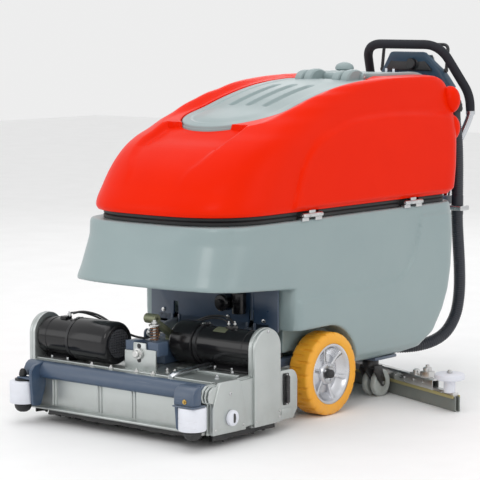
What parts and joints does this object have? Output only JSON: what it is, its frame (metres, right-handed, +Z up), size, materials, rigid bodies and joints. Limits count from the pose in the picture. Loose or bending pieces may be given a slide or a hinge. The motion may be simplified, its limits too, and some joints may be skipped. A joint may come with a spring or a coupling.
{
  "type": "walk-behind floor scrubber",
  "caption": "Walk-behind floor cleaning machine with a cylindrical brush deck, tipping recovery tank, drive wheels, swivel casters and a rear vacuum squeegee.",
  "frame": {"origin": "on the floor under the middle of the machine's box", "axes": "+Z up, +Y towards the operator's handle at the rear, +X across towards the tank hinge side"},
  "size_m": [1.2, 1.654, 1.1244],
  "materials": {
    "navy_paint": "semi-gloss powder coat",
    "orange_shell": "smooth moulded",
    "grey_shell": "satin moulded",
    "lid_shell": "satin moulded",
    "console_plastic": "fine texture",
    "foam_grip": "foam",
    "bright_tube": "brushed",
    "alloy_plate": "mill finish",
    "zinc_steel": "zinc plated",
    "cast_hub": "cast",
    "amber_tyre": "polyurethane",
    "black_motor": "gloss",
    "black_rubber": "matt",
    "hose_rubber": "corrugated",
    "cable_jacket": "satin",
    "black_plastic": "satin",
    "bristle": "bristle",
    "copper_spring": "coppered",
    "olive_link": "plated",
    "white_roller": "satin",
    "caster_tread": "satin",
    "gum_blade": "gum",
    "red_button": "gloss"
  },
  "bodies": {
    "root": {"chassis_frame": "navy_paint", "lower_tank": "grey_shell", "tank_gasket": "black_rubber", "batteries": "black_plastic", "transaxle": "cast_hub", "console_body": "console_plastic", "handle_tube": "bright_tube", "handle_grip": "foam_grip", "hinge_lower": "zinc_steel", "squeegee_mount": "navy_paint", "deck_actuator": "black_motor", "body_fasteners": "zinc_steel"},
    "upper_tank": {"upper_tank": "orange_shell", "rear_cover": "lid_shell", "vacuum_motor": "black_motor", "hinge_upper": "zinc_steel", "hose_elbow": "hose_rubber", "hose_upper": "hose_rubber"},
    "lid": {"lid": "lid_shell"},
    "lift_arms": {"lift_arms": "zinc_steel"},
    "deck": {"deck_frame": "navy_paint", "side_plate_left": "alloy_plate", "side_plate_right": "alloy_plate", "front_panel": "alloy_plate", "bumper_bar": "navy_paint", "rubber_skirts": "black_rubber", "motor_front": "black_motor", "motor_rear": "black_motor", "motor_leads": "cable_jacket", "drive_belts": "black_rubber", "deck_spring": "copper_spring", "deck_link": "olive_link", "deck_fasteners": "zinc_steel"},
    "squeegee": {"squeegee_arm": "navy_paint", "squeegee_body": "zinc_steel", "squeegee_blades": "gum_blade", "squeegee_knobs": "zinc_steel", "hose_lower": "hose_rubber"},
    "brush_front": {"brush_front": "bristle"},
    "brush_rear": {"brush_rear": "bristle"},
    "pulley_front": {"pulley_front": "zinc_steel"},
    "pulley_rear": {"pulley_rear": "zinc_steel"},
    "bumper_roller_left": {"bumper_roller_left": "white_roller"},
    "bumper_roller_right": {"bumper_roller_right": "white_roller"},
    "debris_hopper": {"debris_hopper": "alloy_plate"},
    "latch_knob": {"latch_knob": "white_roller"},
    "squeegee_roller_left": {"squeegee_roller_left": "white_roller"},
    "squeegee_roller_right": {"squeegee_roller_right": "white_roller"},
    "drive_bail": {"drive_bail": "black_plastic"},
    "speed_knob": {"speed_knob": "black_plastic"},
    "key_switch": {"key_switch": "zinc_steel"},
    "stop_button": {"stop_button": "red_button"},
    "drive_wheel_left": {"tyre_left": "amber_tyre", "hub_left": "cast_hub"},
    "caster_left": {"caster_fork_left": "black_plastic"},
    "caster_wheels_left": {"caster_wheels_left": "caster_tread"},
    "drive_wheel_right": {"tyre_right": "amber_tyre", "hub_right": "cast_hub"},
    "caster_right": {"caster_fork_right": "black_plastic"},
    "caster_wheels_right": {"caster_wheels_right": "caster_tread"}
  },
  "joints": [
    {"name": "tank_tilt", "type": "hinge", "parent": "root", "child": "upper_tank", "pos_m": [0.303, 0, 0.619], "axis": [0, 1, 0], "range_deg": [0, 70], "deforming": ["hose_upper"]},
    {"name": "lid_open", "type": "hinge", "parent": "upper_tank", "child": "lid", "pos_m": [0, 0.318, 1.01], "axis": [-1, 0, 0], "range_deg": [0, 85]},
    {"name": "deck_lift", "type": "hinge", "parent": "root", "child": "lift_arms", "pos_m": [0, -0.26, 0.274], "axis": [-1, 0, 0], "range_deg": [0, 21.5]},
    {"name": "deck_level", "type": "hinge", "parent": "lift_arms", "child": "deck", "pos_m": [0, -0.418, 0.244], "axis": [-1, 0, 0], "range_deg": [-21.5, 0]},
    {"name": "brush_front_spin", "type": "hinge", "parent": "deck", "child": "brush_front", "pos_m": [0, -0.66, 0.08], "axis": [1, 0, 0], "continuous": true},
    {"name": "brush_rear_spin", "type": "hinge", "parent": "deck", "child": "brush_rear", "pos_m": [0, -0.495, 0.08], "axis": [1, 0, 0], "continuous": true},
    {"name": "pulley_front_spin", "type": "hinge", "parent": "deck", "child": "pulley_front", "pos_m": [0, -0.66, 0.25], "axis": [1, 0, 0], "continuous": true},
    {"name": "pulley_rear_spin", "type": "hinge", "parent": "deck", "child": "pulley_rear", "pos_m": [0, -0.495, 0.25], "axis": [1, 0, 0], "continuous": true},
    {"name": "bumper_left_spin", "type": "hinge", "parent": "deck", "child": "bumper_roller_left", "pos_m": [0.333, -0.787, 0.094], "axis": [0, 0, 1], "continuous": true},
    {"name": "bumper_right_spin", "type": "hinge", "parent": "deck", "child": "bumper_roller_right", "pos_m": [-0.333, -0.787, 0.094], "axis": [0, 0, 1], "continuous": true},
    {"name": "hopper_slide", "type": "slide", "parent": "deck", "child": "debris_hopper", "axis": [1, 0, 0], "range_m": [0, 0.6]},
    {"name": "latch_turn", "type": "hinge", "parent": "deck", "child": "latch_knob", "pos_m": [0.38, -0.66, 0.082], "axis": [1, 0, 0], "range_deg": [0, 90]},
    {"name": "squeegee_lift", "type": "hinge", "parent": "root", "child": "squeegee", "pos_m": [0, -0.03, 0.112], "axis": [1, 0, 0], "range_deg": [0, 5], "deforming": ["hose_lower"]},
    {"name": "squeegee_left_spin", "type": "hinge", "parent": "squeegee", "child": "squeegee_roller_left", "pos_m": [0.553, 0.172, 0.1], "axis": [0, 0, 1], "continuous": true},
    {"name": "squeegee_right_spin", "type": "hinge", "parent": "squeegee", "child": "squeegee_roller_right", "pos_m": [-0.553, 0.172, 0.1], "axis": [0, 0, 1], "continuous": true},
    {"name": "bail_squeeze", "type": "hinge", "parent": "root", "child": "drive_bail", "pos_m": [0, 0.765, 1.022], "axis": [1, 0, 0], "range_deg": [0, 12]},
    {"name": "speed_turn", "type": "hinge", "parent": "root", "child": "speed_knob", "pos_m": [0.06, 0.769, 1.0535], "axis": [0, 0.8141, 0.5807], "range_deg": [0, 270]},
    {"name": "key_turn", "type": "hinge", "parent": "root", "child": "key_switch", "pos_m": [0, 0.769, 1.0535], "axis": [0, 0.8141, 0.5807], "range_deg": [0, 90]},
    {"name": "stop_press", "type": "slide", "parent": "root", "child": "stop_button", "axis": [0, -0.8141, -0.5807], "range_m": [0, 0.006]},
    {"name": "drive_left_spin", "type": "hinge", "parent": "root", "child": "drive_wheel_left", "pos_m": [0.28, -0.115, 0.127], "axis": [1, 0, 0], "continuous": true},
    {"name": "caster_left_swivel", "type": "hinge", "parent": "root", "child": "caster_left", "pos_m": [0.228, 0.208, 0.11], "axis": [0, 0, 1], "continuous": true},
    {"name": "caster_left_roll", "type": "hinge", "parent": "caster_left", "child": "caster_wheels_left", "pos_m": [0.228, 0.238, 0.044], "axis": [1, 0, 0], "continuous": true},
    {"name": "drive_right_spin", "type": "hinge", "parent": "root", "child": "drive_wheel_right", "pos_m": [-0.28, -0.115, 0.127], "axis": [1, 0, 0], "continuous": true},
    {"name": "caster_right_swivel", "type": "hinge", "parent": "root", "child": "caster_right", "pos_m": [-0.228, 0.208, 0.11], "axis": [0, 0, 1], "continuous": true},
    {"name": "caster_right_roll", "type": "hinge", "parent": "caster_right", "child": "caster_wheels_right", "pos_m": [-0.228, 0.238, 0.044], "axis": [1, 0, 0], "continuous": true}
  ],
  "couplings": [
    {"joint": "deck_level", "follows": "deck_lift", "ratio": -1},
    {"joint": "pulley_front_spin", "follows": "brush_front_spin", "ratio": 1.48},
    {"joint": "pulley_rear_spin", "follows": "brush_rear_spin", "ratio": 1.48}
  ]
}
